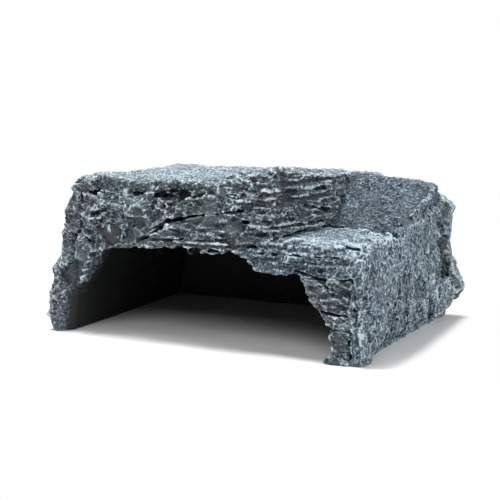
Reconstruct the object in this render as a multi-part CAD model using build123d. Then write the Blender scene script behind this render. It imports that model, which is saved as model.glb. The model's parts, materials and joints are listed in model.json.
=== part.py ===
from build123d import *
import os
import random

# A hollow rock cave made of cast resin stones, bonded face to face: a free-standing hide
# with an arched mouth, a closed back and an open floor. Millimetres, +Z up. While it is
# built, X runs along the front from the middle of the mouth, Y runs to the back from
# the front face, and the ground is Z = 0. The finished stones are moved so that the
# origin is the middle of the footprint of the whole object.

# Beds that the courses lie on, and the heights of the top
shoulder_bed = 60      # top of the leaning left wall
roof_bed = 84          # underside of the roof slab
roof_front = 92.5      # top of the roof slab at the front
roof_fall = 0.015      # its fall towards the back, per mm
crown = 99.5           # top of the strata block
pier_bed = 44          # top of the right pier
foot_bed = 18          # top of the pier's foot
ledge_height = 62.3    # front edge of the ledge
ledge_rise = 0.06      # its rise towards the back, per mm
ledge_thickness = 10

# Depths from the front face
cave_depth = 146
back_thickness = 13
roof_overlap = 8       # how far the roof lies on the back wall
lintel_depth = 20      # how far the front stones reach in
pier_depth = 26
strata_depth = 80

# Left side, seen from the front
left_toe = -98         # outer edge on the ground
left_reach = -104      # widest point
left_belly = 10        # height of the widest point
left_head = -88        # outer face where the shoulder starts
left_splay = 0.05      # how far the left side opens towards the back, per mm
left_inner_foot = -88
left_inner_head = -77.5
left_front_foot = -95  # inner edge of its front end on the ground
shoulder_height = 17   # upright part of the shoulder
shoulder_slope = 5     # how far it leans in above that
roof_left = (-84, -76.5)  # left edge of the roof slab, bottom and top
rear_corner = 22       # how much the rear left corner is knapped off
roof_corner = (12, 12)  # the same on the roof slab: along the side and along the back

# Mouth, seen from the front
haunch_foot = 25       # where the haunch leaves the wall
haunch_nose = (-79, 30)
haunch_tip = (-67.5, 50)
haunch_back = -76      # inner end of the haunch's top
lintel_lip = -55       # where the underside turns up to the lower lintel
lintel_start = -43.5
mouth_top = 54.5       # underside of the lower lintel
lintel_knee = (-12, 71.5)
lintel_rise = 5.5      # rise of the lower lintel from its knee to its end
arch_spring = 24       # where the arch starts down on the right
ledge_nose = 37        # where the ledge's underside turns level
pier_head = 56.5       # inner edge of the pier, from top to bottom
pier_knee = (61.5, 38)
pier_heel = 69
foot_head = 74.5       # inner edge of the pier's foot
foot_heel = 78.5
toe_reach = 7          # spur at the bottom of the foot
toe_height = 6

# Strata block
strata_left_top = (10, 93)
strata_left_foot = 43  # foot of its left side, at the front edge of the ledge
strata_right_front = (40, 2)
strata_right_back = (57, 50)
strata_crest = 42      # where its top turns level
strata_wall = 10
strata_lid = 15.5      # its thickness over the room
strata_fall = 0.08     # fall of its top towards the back, per mm
strata_cant = 0.05     # fall of its top towards the right, per mm
strata_layers = 3      # bedding grooves round the block
groove_depth = 2.5
groove_height = 3
groove_dip = -0.12
pocket = (29, 72.5)    # middle of the dark pocket under the strata block
pocket_width = 13
pocket_height = 6
pocket_depth = 7
slot_ends = (-5, 21)   # dark slot low in the front of the lower lintel
slot_height = 60.5
pier_layers = 2        # bedding grooves in the front of the pier

# Right side
right_inner = 88
right_front = 95
flank_nose = (98, 9)
flank_waist = 94       # the flank's foot below the ledge's rear corner
flank_back = 100
riser_foot_left = (57, 47)
riser_foot_right = (101, 33)
riser_corner = (115, 62, 90.4)
riser_top_left = (46, 84, 96)
riser_back = (96, 133, 77)
riser_wall = 11
ledge_chip = (74, 86.5, 5.5)  # knapped corner of the ledge: start, end and drop
band_height = 6        # smooth moulded band round the foot of the flank
band_inset = 2

# How far the fronts stand proud of the front face at their foot, and lean back per mm
wall_dress = (0, 0)
shoulder_dress = (1, 0.03)
haunch_dress = (0.5, 0.05)
lintel_dress = (0.5, -0.02)
lens_dress = (2, 0.06)     # lower lintel
strata_dress = (1.5, 0.06)
ledge_dress = (0.5, 0)
pier_dress = (0, 0.04)
foot_dress = (2, 0.05)
flank_dress = (1, 0)
roof_dress = (0, 0)

# Wing of the back wall that stands out past the flank, from the top down
wing_shoulder = (104, 69)
wing_waist = (101, 46)
wing_tip = (110.5, 20)
wing_foot = (101, 9)

# Chip stone wedged between the flank and the wing
chip_front = 108
chip_top = 27
chip_bottom = 7
chip_proud = 3.5

# Broken faces: the top, the back and the left side are knapped into facets
facet_size = 18        # distance between the corners of the facets
facet_jitter = 0.3     # how unevenly the corners are spread, as a share of that distance
roof_relief = 2.4      # how deep the lowest corners lie under the highest ones
back_relief = 2.8
left_relief = 2

reach = 4 * cave_depth
back_inner = cave_depth - back_thickness
roof_back = back_inner + roof_overlap


def face(at, facing):
    """A flat face through a point, and the way that it faces."""
    return Plane(origin=at, z_dir=facing)


def flip(plane):
    return face(plane.origin, -plane.z_dir)


def along(start, end, splay=0.0):
    """A face from front to back through two (x, z) points, facing left of the way."""
    run, rise = end[0] - start[0], end[1] - start[1]
    return face((start[0], 0, start[1]), (-rise, -rise * splay, run))


def upright(start, end):
    """An upright face through two (x, y) points, facing right of the way."""
    run, depth = end[0] - start[0], end[1] - start[1]
    return face((start[0], start[1], 0), (depth, -run, 0))


def through(first, second, third, towards):
    """A face through three points that looks towards a direction."""
    first, second, third = Vector(first), Vector(second), Vector(third)
    normal = (second - first).cross(third - first)
    if normal.dot(Vector(towards)) < 0:
        normal = -normal
    return face(first, normal)


def below(height):
    return face((0, 0, height), (0, 0, 1))


def above(height):
    return flip(below(height))


def ahead_of(depth):
    return face((0, depth, 0), (0, 1, 0))


def behind(depth):
    return flip(ahead_of(depth))


def left_of(x):
    return face((x, 0, 0), (1, 0, 0))


def right_of(x):
    return flip(left_of(x))


def stone(*faces):
    """The block that all the faces enclose."""
    block = Box(reach, reach, reach)
    for plane in faces:
        block = split(block, bisect_by=plane, keep=Keep.BOTTOM)
    return block


def fitted(block, *neighbours):
    """A stone cut to lie against stones that were laid before it."""
    for other in neighbours:
        block = block - other
    return block


def front(dress, height=0.0):
    """The front of a stone, which stands proud by its dress at a height and leans back."""
    proud, lean = dress
    return face((0, -proud, height), (0, -1, lean))


def dressed(block, surface):
    """A stone cut off at its front."""
    return split(block, bisect_by=surface, keep=Keep.BOTTOM)


def groove_faces(surface, height):
    """The two faces of a V-shaped bedding groove in an upright surface."""
    out = surface.z_dir
    root = surface.origin - out * groove_depth
    root = Vector(root.X, root.Y, height)
    spread = out * (groove_height / 2 / groove_depth)
    rise = Vector(groove_dip, 0, 1)
    return face(root, rise - spread), face(root, -rise - spread)


def layered(block, surface, bottom, top, layers):
    """A stone with bedding grooves at even heights across one of its faces."""
    for layer in range(layers):
        height = bottom + (top - bottom) * (layer + 1) / (layers + 1)
        block = block - stone(*groove_faces(surface, height))
    return block


def even_steps(values):
    """Places about a facet apart that run past the values at both ends."""
    start, end = min(values) - facet_size / 2, max(values) + facet_size / 2
    count = round((end - start) / facet_size)
    return [start + (end - start) * k / count for k in range(count + 1)]


def knapped(block, plane, relief, seed):
    """A stone with a face broken into facets, whose corners lie up to the relief below it."""
    dice = random.Random(seed)
    spread = facet_size * facet_jitter
    corners = [plane.to_local_coords(vertex.center()) for vertex in block.vertices()]
    columns = even_steps([corner.X for corner in corners])
    rows = even_steps([corner.Y for corner in corners])
    floor = min(corner.Z for corner in corners) - facet_size
    grid = [[Vector(u, v, -dice.uniform(0, relief)) for v in rows] for u in columns]
    for line in grid[1:-1]:
        line[1:-1] = [
            corner + Vector(dice.uniform(-spread, spread), dice.uniform(-spread, spread))
            for corner in line[1:-1]
        ]
    facets = []
    for left, right in zip(grid, grid[1:]):
        for a, b, c, d in zip(left, right, right[1:], left[1:]):
            facets += [(a, b, c), (a, c, d)] if dice.random() < 0.5 else [(a, b, d), (b, c, d)]
    ends = [[line[0] for line in grid], [line[-1] for line in grid]]
    sides = [
        (*rim, Vector(rim[-1].X, rim[-1].Y, floor), Vector(rim[0].X, rim[0].Y, floor))
        for rim in (grid[0], grid[-1], *ends)
    ]
    base = [Vector(u, v, floor) for u in (columns[0], columns[-1]) for v in (rows[0], rows[-1])]
    base = [(base[0], base[1], base[3], base[2])]
    shell = Shell([
        Face(Wire.make_polygon([plane.from_local_coords(corner) for corner in panel]))
        for panel in facets + sides + base
    ])
    return block & Solid(shell)


def on_ledge(point):
    return (point[0], point[1], ledge_height + ledge_rise * point[1])


ground = above(0)
ledge_top = face((0, 0, ledge_height), (0, -ledge_rise, 1))
ledge_seat = flip(ledge_top)
splay_back = left_splay * back_inner

# Left side: the leaning wall, the shoulder course on it, and a haunch bonded to its inside
left_outer = along((left_reach, left_belly), (left_head, shoulder_bed), left_splay)
left_under = along((left_toe, 0), (left_reach, left_belly), left_splay)
left_inner = along((left_inner_foot, 0), (left_inner_head, shoulder_bed))
left_bevel = through(
    (left_front_foot, 0, 0),
    (left_inner_foot, left_inner_foot - left_front_foot, 0),
    (left_inner_foot, 0, shoulder_bed - haunch_foot),
    (1, -1, 0),
)
rear_chamfer = through(
    (left_reach - splay_back, back_inner, left_belly),
    (left_head - splay_back, back_inner, shoulder_bed),
    (left_head - splay_back + rear_corner, cave_depth, shoulder_bed),
    (-1, 1, 0),
)
left_skin = left_outer.offset(left_relief / 2)
left_wall = stone(
    ground, below(shoulder_bed), left_skin, left_under, flip(left_inner), left_bevel,
    ahead_of(back_inner),
)
shoulder_upright = along((left_head, 0), (left_head, shoulder_bed), left_splay)
shoulder_chamfer = along(
    (left_head, shoulder_bed + shoulder_height),
    (left_head + shoulder_slope, roof_bed),
    left_splay,
)
left_shoulder = stone(
    above(shoulder_bed), below(roof_bed), shoulder_upright, shoulder_chamfer,
    left_of(left_inner_head), ahead_of(back_inner),
)
left_haunch = stone(
    left_inner, below(shoulder_bed), ahead_of(lintel_depth),
    along(haunch_nose, (left_inner_foot, haunch_foot)),
    along(haunch_tip, haunch_nose),
    flip(along(haunch_tip, (haunch_back, shoulder_bed))),
)
left_haunch = fitted(left_haunch, left_wall)

# The notch in the upper right: the riser slants up behind the ledge, and the strata block
# closes its left side
riser_slope = through(
    on_ledge(riser_foot_left), on_ledge(riser_foot_right), riser_corner, (0, -1, 1)
)
riser_top = through(riser_top_left, riser_corner, riser_back, (0, 0, 1))
flank_over = through(on_ledge(riser_foot_right), riser_corner, riser_back, (1, 0, 0))
strata_left = along((strata_left_foot, ledge_height), strata_left_top)
strata_left_seat = flip(strata_left)
strata_right = upright(strata_right_front, strata_right_back)

# The room inside: one chamber under the roof, and a low one under the ledge and riser
high_walls = (
    left_inner, behind(lintel_depth), ahead_of(back_inner),
    strata_right.offset(-strata_wall), left_of(strata_right_back[0] - strata_wall),
)
chamber_high = stone(below(roof_bed), *high_walls)
strata_room = stone(below(crown - strata_lid), *high_walls)
chamber_low = stone(
    ledge_top.offset(-ledge_thickness), behind(pier_depth), ahead_of(back_inner),
    right_of(strata_left_foot - strata_wall), left_of(right_inner),
)
chamber_riser = stone(
    riser_slope.offset(-riser_wall), riser_top.offset(-riser_wall),
    flank_over.offset(-riser_wall), behind(riser_foot_left[1]), ahead_of(back_inner),
    right_of(strata_right_back[0]), left_of(right_inner),
)
low_chambers = (chamber_low, chamber_riser)
chambers = (chamber_high, *low_chambers)

# Right side: the ledge slab lies on the pier, between the lower lintel and the flank
riser_foot = upright(riser_foot_left, riser_foot_right)
ledge_left = along((arch_spring, mouth_top), (strata_left_foot, ledge_height))
ledge_rough = stone(
    ledge_top, above(pier_bed), ledge_left, left_of(right_inner), flip(riser_foot),
    along((ledge_nose, pier_bed), (arch_spring, mouth_top)),
)
chip_start, chip_end, chip_drop = ledge_chip
ledge_corner = through(
    (chip_start, 0, ledge_height),
    (chip_end, 0, ledge_height - chip_drop),
    on_ledge((right_front, flank_nose[1])),
    (0, -1, 1),
)
ledge_slab = fitted(dressed(ledge_rough, front(ledge_dress)), *chambers)
ledge_slab = dressed(ledge_slab, ledge_corner)
pier_front = front(pier_dress, pier_bed)
right_pier = stone(
    above(foot_bed), below(pier_bed), left_of(right_inner), ahead_of(pier_depth),
    along(pier_knee, (pier_head, pier_bed)), along((pier_heel, foot_bed), pier_knee),
    pier_front,
)
right_pier = layered(right_pier, pier_front, foot_bed, pier_bed, pier_layers)
foot_front = front(foot_dress)
pier_foot = stone(
    ground, below(foot_bed), left_of(right_inner), ahead_of(pier_depth), foot_front,
    along((foot_heel, toe_height), (foot_head, foot_bed)),
)
pier_foot = pier_foot + stone(
    ground, along((foot_heel - toe_reach, 0), (foot_heel, toe_height)),
    left_of(right_inner), ahead_of(pier_depth - toe_reach), foot_front,
)

# Strata block: its slanted left side is the seat of the lintels and of the roof
strata_rough = stone(
    above(ledge_height), strata_left, strata_right, left_of(strata_right_back[0]),
    along(strata_left_top, (strata_crest, crown)),
    face((strata_crest, 0, crown), (strata_cant, strata_fall, 1)),
    ahead_of(strata_depth),
)
strata_front = front(strata_dress, ledge_height)
strata_block = dressed(strata_rough, strata_front)
strata_block = fitted(strata_block, ledge_rough, strata_room, *low_chambers)
for surface in (strata_right, strata_front):
    strata_block = layered(strata_block, surface, ledge_height, crown, strata_layers)

# Flank: an upright slab from the front to the back wall, with a bevelled front edge
waist = (flank_waist, riser_foot_right[1], 0)
nose = (flank_nose[0], flank_nose[1], 0)
tail = (flank_back, back_inner, 0)
brow = on_ledge(riser_foot_right)
cheek = on_ledge((right_front, 0))
flank_front = through(nose, waist, brow, (1, 0, 0))
flank_bevel = through(nose, brow, cheek, (1, -1, 0))
flank_rear = through(waist, tail, brow, (1, 0, 0))
flank_tail = through(tail, brow, riser_back, (1, 0, 0))
flank_slab = (ground, ledge_top, right_of(right_inner))
right_wall = stone(
    *flank_slab, flank_front, flank_bevel, front(flank_dress), ahead_of(waist[1])
) + stone(*flank_slab, flank_rear, flank_tail, behind(waist[1]), ahead_of(back_inner))
for surface, start, end in (
    (flank_front, flank_nose[1], waist[1]),
    (flank_rear, waist[1], back_inner),
):
    right_wall = right_wall - stone(
        below(band_height), flip(surface.offset(-band_inset)), behind(start), ahead_of(end)
    )
right_wall = dressed(right_wall, ledge_corner)

# Riser: the sloping block above the ledge, hollow underneath
riser_block = stone(
    ledge_seat, riser_slope, riser_top, flank_over, right_of(strata_right_back[0]),
    riser_foot, ahead_of(back_inner),
)
riser_block = fitted(riser_block, strata_rough, *chambers)

# Front course over the mouth: the lower lintel is a lens between the arch and a slanted
# crack, and the upper one closes the front up to the roof
lens_top = along(lintel_knee, (arch_spring, lintel_knee[1] + lintel_rise))
lintel_lower_rough = stone(
    above(mouth_top), ahead_of(lintel_depth), strata_left_seat, flip(ledge_left),
    along((lintel_start, mouth_top), lintel_knee), lens_top,
)
lintel_front = front(lens_dress, mouth_top)
lintel_lower = dressed(lintel_lower_rough, lintel_front)
slot = stone(*groove_faces(lintel_front, slot_height), right_of(slot_ends[0]),
             left_of(slot_ends[1]))
lintel_lower = lintel_lower - slot
lintel_upper = stone(
    above(haunch_tip[1]), below(roof_bed), right_of(left_inner_head), strata_left_seat,
    ahead_of(lintel_depth),
)
lip = stone(along((lintel_lip, haunch_tip[1]), (lintel_start, mouth_top)),
            left_of(lintel_start), right_of(lintel_lip))
mouth = stone(below(mouth_top), right_of(lintel_start))
under_lens = stone(lens_top, right_of(lintel_knee[0]))
lintel_upper = fitted(lintel_upper, left_haunch, lintel_lower_rough, under_lens, lip, mouth)
lintel_upper = dressed(lintel_upper, front(lintel_dress, shoulder_bed))

# Pocket between the lower lintel and the strata block
pocket_x, pocket_z = pocket
hollow = stone(
    along((pocket_x - pocket_width / 2, pocket_z), (pocket_x, pocket_z + pocket_height / 2)),
    along((pocket_x, pocket_z + pocket_height / 2), (pocket_x + pocket_width / 2, pocket_z)),
    along((pocket_x + pocket_width / 2, pocket_z), (pocket_x, pocket_z - pocket_height / 2)),
    along((pocket_x, pocket_z - pocket_height / 2), (pocket_x - pocket_width / 2, pocket_z)),
    ahead_of(pocket_depth),
)
lintel_lower = lintel_lower - hollow
strata_block = strata_block - hollow

# Roof slab: lies on the shoulder, the upper lintel and the back wall
roof_top = face((0, 0, roof_front + roof_relief / 2), (0, roof_fall, 1))
roof_slab = stone(
    above(roof_bed), roof_top,
    along((roof_left[0], roof_bed), (roof_left[1], roof_front), left_splay),
    upright(
        (roof_left[1] - splay_back + roof_corner[1], roof_back),
        (roof_left[1] - splay_back, roof_back - roof_corner[0]),
    ),
    ahead_of(roof_back), left_of(strata_right_back[0]),
)
strata_place = stone(strata_left, ahead_of(strata_depth))
roof_slab = knapped(dressed(roof_slab, front(roof_dress)), roof_top, roof_relief, seed=11)
roof_slab = fitted(roof_slab, strata_place)
left_wall = knapped(dressed(left_wall, front(wall_dress)), left_skin, left_relief, seed=13)
left_shoulder = dressed(left_shoulder, front(shoulder_dress, shoulder_bed))
left_haunch = dressed(left_haunch, front(haunch_dress, shoulder_bed))

# Back wall: one upright slab whose right end stands out past the flank as a ragged wing
back_outline = (
    (left_toe - splay_back, 0),
    (left_reach - splay_back, left_belly),
    (left_head - splay_back, shoulder_bed),
    (left_head - splay_back, shoulder_bed + shoulder_height),
    (left_head + shoulder_slope - splay_back, roof_bed),
    (strata_right_back[0], roof_bed),
    (riser_back[0], riser_back[2]),
    wing_shoulder, wing_waist, wing_tip, wing_foot,
    (flank_back, 0),
)
back_wall = extrude(
    make_face(Polyline([(x, back_inner, z) for x, z in back_outline], close=True)),
    amount=back_thickness, dir=(0, 1, 0),
)
back_wall = knapped(back_wall, ahead_of(cave_depth), back_relief, seed=12)
back_wall = dressed(back_wall, rear_chamfer)

# Chip stone in the corner between the flank and the wing
chip_middle = (chip_front + back_inner) / 2
flank_chip = stone(
    flank_rear.offset(chip_proud), right_of(right_inner), ahead_of(back_inner),
    through((0, chip_front, chip_bottom), (1, chip_front, chip_bottom),
            (0, chip_middle, chip_top), (0, -1, 1)),
    through((0, chip_middle, chip_top), (1, chip_middle, chip_top),
            (0, back_inner, chip_top - chip_proud), (0, 0, 1)),
    above(chip_bottom),
)
flank_chip = fitted(flank_chip, right_wall)

stones = {
    "left_wall": left_wall,
    "left_shoulder": left_shoulder,
    "left_haunch": left_haunch,
    "lintel_upper": lintel_upper,
    "lintel_lower": lintel_lower,
    "strata_block": strata_block,
    "ledge_slab": ledge_slab,
    "right_pier": right_pier,
    "pier_foot": pier_foot,
    "right_wall": right_wall,
    "riser_block": riser_block,
    "roof_slab": roof_slab,
    "back_wall": back_wall,
    "flank_chip": flank_chip,
}

# The origin is the middle of the footprint of the whole cave
outside = Compound(children=[Part(block.wrapped) for block in stones.values()]).bounding_box()
middle = outside.center()
os.makedirs("parts", exist_ok=True)
for name, block in stones.items():
    export_step(Pos(-middle.X, -middle.Y, 0) * block, f"parts/{name}.step")
    print(name, len(block.solids()), round(block.volume / 1000, 1), "cm3")
print("size", outside.size)
print("front middle of the mouth is at", -middle.X, -middle.Y)
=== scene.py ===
import json
import math
import time

import bpy
import numpy as np
import openvdb
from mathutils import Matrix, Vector


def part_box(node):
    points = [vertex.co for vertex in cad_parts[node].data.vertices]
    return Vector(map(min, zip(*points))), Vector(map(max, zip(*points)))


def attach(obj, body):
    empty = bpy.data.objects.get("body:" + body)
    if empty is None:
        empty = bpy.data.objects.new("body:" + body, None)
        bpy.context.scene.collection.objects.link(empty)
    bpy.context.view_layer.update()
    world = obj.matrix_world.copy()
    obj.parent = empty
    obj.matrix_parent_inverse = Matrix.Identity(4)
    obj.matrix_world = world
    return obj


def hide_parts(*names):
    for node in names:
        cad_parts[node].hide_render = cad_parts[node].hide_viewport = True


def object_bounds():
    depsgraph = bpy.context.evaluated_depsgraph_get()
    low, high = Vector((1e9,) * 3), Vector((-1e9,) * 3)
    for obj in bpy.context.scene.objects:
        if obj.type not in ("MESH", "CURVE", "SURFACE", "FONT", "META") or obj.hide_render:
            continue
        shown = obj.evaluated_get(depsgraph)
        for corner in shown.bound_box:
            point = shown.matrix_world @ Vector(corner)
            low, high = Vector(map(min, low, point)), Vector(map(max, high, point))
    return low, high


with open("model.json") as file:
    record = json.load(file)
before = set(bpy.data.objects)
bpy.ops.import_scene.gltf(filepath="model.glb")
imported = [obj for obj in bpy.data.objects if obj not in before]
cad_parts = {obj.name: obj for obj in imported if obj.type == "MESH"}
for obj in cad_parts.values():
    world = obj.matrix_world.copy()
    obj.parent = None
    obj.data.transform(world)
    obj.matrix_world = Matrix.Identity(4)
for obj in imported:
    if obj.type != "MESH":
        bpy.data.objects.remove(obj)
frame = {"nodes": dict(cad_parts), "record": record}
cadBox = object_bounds()
startTime = time.perf_counter()


def report(words):
    print(f"{time.perf_counter() - startTime:6.1f} s  {words}")


def linked(item):
    bpy.context.scene.collection.objects.link(item)
    return item


# stones as one solid
# The blocks are joined on one grid of distances, knapped, cracked where they meet, then cut
# apart again along their joints. Lengths here are millimetres.
mm = 0.001
carving = {
    "step": 0.6,        # grid spacing
    "reach": 8,         # how many steps the distances reach, and the margin round the blocks
    "wear": 2,          # rounds of softening
    "grow": 0.15,       # closes the hairline between blocks
    "overlap": 1.4,     # how far a stone runs under its neighbours
    "tuck": 0.5,        # how steeply it sinks there
    "blend": 3.5,       # how softly one stone's carving runs into the next
    "footHeight": 7,    # the feet are cast against a flat plate, so they are carved less
    "footShare": 0.3,   # share of the carving that is left right at the floor
}
step = carving["step"]
far = carving["reach"] * step
stoneNames = sorted(frame["nodes"])


def cornersOf(name):
    # Merged corners and triangles of a block, in mm.
    mesh = frame["nodes"][name].data
    mesh.calc_loop_triangles()
    points = np.empty(len(mesh.vertices) * 3, np.float32)
    mesh.vertices.foreach_get("co", points)
    triangles = np.empty(len(mesh.loop_triangles) * 3, np.int32)
    mesh.loop_triangles.foreach_get("vertices", triangles)
    points = np.round(points.reshape(-1, 3) / mm, 4)
    points, where = np.unique(points, axis=0, return_inverse=True)
    return points.astype(np.float32), where.ravel()[triangles].reshape(-1, 3).astype(np.uint32)


stoneBoxes = np.array([[list(end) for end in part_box(name)] for name in stoneNames]) / mm
low = np.floor(stoneBoxes[:, 0].min(axis=0) / step).astype(int) - carving["reach"]
high = np.ceil(stoneBoxes[:, 1].max(axis=0) / step).astype(int) + carving["reach"]
gridShape = tuple(high - low)
gridLow = low * step
placing = openvdb.createLinearTransform(step)


def corner(name):
    # Low corner of a block, in mm.
    return np.array(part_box(name)[0]) / mm


def along(axis):
    # Places of the grid's planes along an axis, in mm.
    return np.arange(gridShape[axis]) * step + gridLow[axis]


def slices(first, last):
    return tuple(slice(a, b) for a, b in zip(first, last))


def windowRound(name):
    # Slices of the grid round a block, and the grid index where they start.
    lowest, highest = (np.array(end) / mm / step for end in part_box(name))
    first = np.maximum(np.floor(lowest).astype(int) - low - carving["reach"], 0)
    last = np.minimum(np.ceil(highest).astype(int) - low + carving["reach"], gridShape)
    return slices(first, last), tuple(int(v) for v in first + low)


blockFields = {}
nearest = np.full(gridShape, far, np.float32)
second = np.full(gridShape, far, np.float32)
for name in stoneNames:
    points, triangles = cornersOf(name)
    level = openvdb.FloatGrid.createLevelSetFromPolygons(
        points, triangles=triangles, transform=placing, halfWidth=float(carving["reach"])
    )
    window, first = windowRound(name)
    field = np.empty(tuple(s.stop - s.start for s in window), np.float32)
    level.copyToArray(field, ijk=first)
    blockFields[name] = (field, window, first)
    before = nearest[window].copy()
    second[window] = np.minimum(np.maximum(before, field), second[window])
    nearest[window] = np.minimum(before, field)


def soften(field, rounds):
    for _ in range(rounds):
        for axis in range(3):
            padded = np.pad(field, [(2, 2) if a == axis else (0, 0) for a in range(3)], "edge")
            n = field.shape[axis]
            parts = [padded[tuple(slice(i, i + n) if a == axis else slice(None)
                                  for a in range(3))] for i in range(5)]
            field = (parts[0] + parts[4] + 4 * (parts[1] + parts[3]) + 6 * parts[2]) / 16
    return field


rock = soften(nearest - carving["grow"], carving["wear"])
report("blocks joined")


# the room: empty, under cover and behind the front stones. Its faces stay smooth, and dark: plain
# resin, near black as painted shade
# Its ends are mm past the low corners of the haunch, the right wall, the lintel and the back
roomEnds = {"left": -9, "right": 1, "footEnd": 6, "behindFoot": 3, "behindLintel": 11, "back": 1}


def findRoom():
    solid = nearest < 0.3
    covered = np.maximum.accumulate(solid[:, :, ::-1], axis=2)[:, :, ::-1]
    left, front = corner("left_haunch")[0], corner("lintel_upper")[1]
    right, back = corner("right_wall")[0], corner("back_wall")[1]
    x, y = along(0), along(1)
    across = (x > left + roomEnds["left"]) & (x < right + roomEnds["right"])
    # it starts right behind the left foot, and behind the lintels elsewhere
    startsAt = np.where(x < left + roomEnds["footEnd"], front + roomEnds["behindFoot"],
                        front + roomEnds["behindLintel"])
    deep = (y[None, :] > startsAt[:, None]) & (y[None, :] < back + roomEnds["back"])
    room = ~solid & covered & (across[:, None] & deep)[:, :, None]
    return soften(room.astype(np.float32), 3)


def roomShare(field):
    # 1 in the room and on its faces, 0 a little way off.
    return np.clip(field * 2.6 - 0.1, 0, 1)


roomField = findRoom()
outside = 1 - roomShare(roomField)
overFloor = np.clip(along(2) / carving["footHeight"], 0, 1)
footShare = carving["footShare"]
outside = outside * (footShare + (1 - footShare) * overFloor).astype(np.float32)
report("room found")


# noise on the grid
def noiseGrid(size, seed, window=slices((0, 0, 0), gridShape)):
    # Smooth noise from -1 to 1 over a window of the grid, with lumps of about `size` mm.
    rng = np.random.default_rng(seed)
    spans = [max(2, int(count * step / size) + 4) for count in gridShape]
    field = rng.uniform(-1, 1, spans).astype(np.float32)
    for axis in range(3):
        at = np.arange(window[axis].start, window[axis].stop) * step / size + 1
        whole = np.floor(at).astype(int)
        t = (at - whole).astype(np.float32)
        weights = [(1 - t) ** 3 / 6, (3 * t**3 - 6 * t**2 + 4) / 6,
                   (-3 * t**3 + 3 * t**2 + 3 * t + 1) / 6, t**3 / 6]
        total = 0
        for k, weight in enumerate(weights):
            taken = np.take(field, np.clip(whole - 1 + k, 0, spans[axis] - 1), axis=axis)
            total = total + taken * weight.reshape([-1 if a == axis else 1 for a in range(3)])
        field = total
    return field * 1.8      # the blend of lumps is flatter than one lump, so it is raised again


stride = 6      # a coarse copy of the grid tells where there is no surface to carve
surfaceNear = np.abs(rock[::stride, ::stride, ::stride]) < far * 0.98
dishes = {"bowl": 2.0, "jitter": 0.35, "tilt": 1.2, "depth": 0.35, "reach": 1.6}


def dishGrid(size, seed, stretch=(1, 1, 1), dip=0.0):
    # Dishes that meet in sharp ridges, about `size` mm apart, from about -0.5 to 0.5.
    # Each has its own depth and tilt, so that some swallow their neighbours.
    bowl = dishes["bowl"]
    rng = np.random.default_rng(seed)
    field = np.full(gridShape, 1.5, np.float32)
    cell = size * np.array(stretch, float)
    spans = np.ceil(np.array(gridShape) * step / cell).astype(int) + 2
    jitters = rng.uniform(-dishes["jitter"], dishes["jitter"], (*spans, 3))
    tilts = rng.uniform(-dishes["tilt"], dishes["tilt"], (*spans, 3))
    depths = rng.uniform(-dishes["depth"], dishes["depth"], spans)
    for index in np.ndindex(*spans):
        middle = (np.array(index) - 0.5 + jitters[index]) * cell
        reach = dishes["reach"] * cell
        reach[2] += abs(dip) * reach[0]
        first = np.maximum(((middle - reach) / step).astype(int), 0)
        last = np.minimum(((middle + reach) / step).astype(int) + 1, gridShape)
        if (last <= first).any():
            continue
        if not surfaceNear[slices(first // stride, last // stride + 1)].any():
            continue
        x, y, z = [((np.arange(a, b) * step - m) / c).astype(np.float32)
                   for a, b, m, c in zip(first, last, middle, cell)]
        tilt = tilts[index]
        slide = dip * cell[0] / cell[2]     # the beds fall by this much over a cell
        across = bowl * x**2 + tilt[0] * x + bowl * (slide * x) ** 2 + tilt[2] * slide * x
        dish = across[:, None, None] + (bowl * y**2 + tilt[1] * y)[None, :, None]
        dish = dish + (bowl * z**2 + tilt[2] * z + depths[index])[None, None, :]
        if dip:
            dish = dish + (2 * bowl * slide * x)[:, None, None] * z[None, None, :]
        window = slices(first, last)
        np.minimum(field[window], dish, out=field[window])
    return field - np.median(field[::7, ::7, ::7])


# how deep each stone is carved, in mm
# heave: long swells; broad: facets of 14 mm; small: facets of 6 mm; beds: slabby layers;
# creases: fine cracks that wander over a stone
carvings = {
    "left_wall": {"heave": 0.8, "broad": 2.4, "small": 0.6, "beds": 0.2, "creases": 0.9},
    "left_shoulder": {"heave": 0.8, "broad": 2.6, "small": 0.9, "beds": 0.0, "creases": 1.0},
    "left_haunch": {"heave": 0.6, "broad": 2.8, "small": 0.5, "beds": 0.0, "creases": 0.6},
    "lintel_upper": {"heave": 0.9, "broad": 3.4, "small": 1.2, "beds": 0.3, "creases": 1.2},
    "lintel_lower": {"heave": 0.6, "broad": 1.8, "small": 0.4, "beds": 1.0, "creases": 0.8},
    "strata_block": {"heave": 0.5, "broad": 1.4, "small": 0.6, "beds": 0.9, "creases": 0.7},
    "ledge_slab": {"heave": 0.5, "broad": 1.2, "small": 0.5, "beds": 0.9, "creases": 0.7},
    "right_pier": {"heave": 0.5, "broad": 1.4, "small": 0.4, "beds": 0.5, "creases": 0.8},
    "pier_foot": {"heave": 0.5, "broad": 1.4, "small": 0.4, "beds": 0.3, "creases": 0.7},
    "right_wall": {"heave": 0.7, "broad": 1.4, "small": 0.9, "beds": 0.0, "creases": 0.7},
    "riser_block": {"heave": 0.5, "broad": 0.8, "small": 0.4, "beds": 0.0, "creases": 0.2},
    "roof_slab": {"heave": 0.6, "broad": 1.0, "small": 0.4, "beds": 0.0, "creases": 0.5},
    "back_wall": {"heave": 1.0, "broad": 1.9, "small": 0.9, "beds": 0.2, "creases": 1.0},
    "flank_chip": {"heave": 0.3, "broad": 1.2, "small": 1.0, "beds": 0.0, "creases": 0.4},
}
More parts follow.
